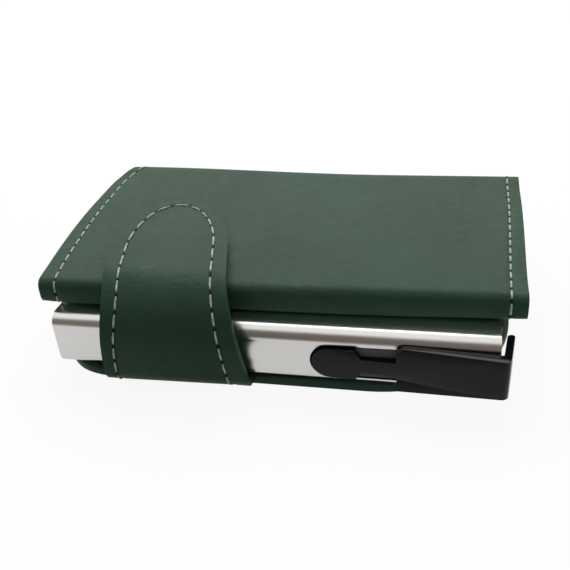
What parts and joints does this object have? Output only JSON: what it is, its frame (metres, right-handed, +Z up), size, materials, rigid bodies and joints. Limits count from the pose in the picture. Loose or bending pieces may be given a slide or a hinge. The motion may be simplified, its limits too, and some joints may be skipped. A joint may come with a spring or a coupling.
{
  "type": "aluminium card wallet",
  "caption": "Slim card wallet: aluminium card case with a side trigger that fans the cards out, in a leather wrap with a padded cover and a closing strap.",
  "frame": {"origin": "middle of the wallet's footprint, on the surface its back panel rests on", "axes": "+X from the mouth of the card case to its trigger end, +Y from the open side with the strap to the spine, +Z up through the cover"},
  "size_m": [0.107, 0.0724, 0.0242],
  "materials": {
    "satin_aluminium": "satin anodised, drawn along its length",
    "black_plastic": "moulded, matt",
    "gloss_black_plastic": "moulded, semi-gloss",
    "steel": "ground",
    "black_felt": "short pile felt",
    "tape": "double-sided adhesive tape",
    "green_leather": "smooth coated leather, fine grain, dark green",
    "black_lining": "thin woven lining",
    "board": "pressed stiffening board",
    "foam": "closed-cell foam",
    "magnet": "flexible bonded magnet sheet"
  },
  "bodies": {
    "case": {"case_tube": "satin_aluminium", "base_insert": "black_plastic", "pivot_pin": "steel", "friction_pad_lower": "black_felt", "friction_pad_upper": "black_felt", "tape_strip_front": "tape", "tape_strip_rear": "tape", "back_leather": "green_leather", "back_board": "board", "back_lining": "black_lining", "strap_root": "green_leather"},
    "trigger": {"trigger_lever": "gloss_black_plastic"},
    "spine": {"spine_leather": "green_leather", "spine_lining": "black_lining"},
    "cover": {"cover_leather": "green_leather", "cover_foam": "foam", "strike_plate": "steel", "cover_board": "board", "cover_lining": "black_lining", "pocket_panel": "green_leather"},
    "strap_side": {"strap_side_leather": "green_leather", "strap_side_lining": "green_leather"},
    "strap_tab": {"strap_tab_leather": "green_leather", "strap_tab_lining": "green_leather", "strap_magnet": "magnet"}
  },
  "joints": [
    {"name": "trigger_pull", "type": "hinge", "parent": "case", "child": "trigger", "pos_m": [0.0447, -0.0228, 0.0089], "axis": [0, 0, 1], "range_deg": [0, 38]},
    {"name": "spine_fold", "type": "hinge", "parent": "case", "child": "spine", "pos_m": [0, 0.0362, 0.00365], "axis": [-1, 0, 0], "range_deg": [0, 90]},
    {"name": "cover_fold", "type": "hinge", "parent": "spine", "child": "cover", "pos_m": [0, 0.0362, 0.01835], "axis": [-1, 0, 0], "range_deg": [0, 90]},
    {"name": "strap_swing", "type": "hinge", "parent": "case", "child": "strap_side", "pos_m": [0, -0.0362, 0.0047], "axis": [1, 0, 0], "range_deg": [0, 95], "deforming": ["strap_side_leather", "strap_side_lining"]},
    {"name": "strap_lift", "type": "hinge", "parent": "strap_side", "child": "strap_tab", "pos_m": [0, -0.03254, 0.02054], "axis": [1, 0, 0], "range_deg": [0, 85], "deforming": ["strap_tab_leather", "strap_tab_lining", "strap_magnet"]}
  ]
}
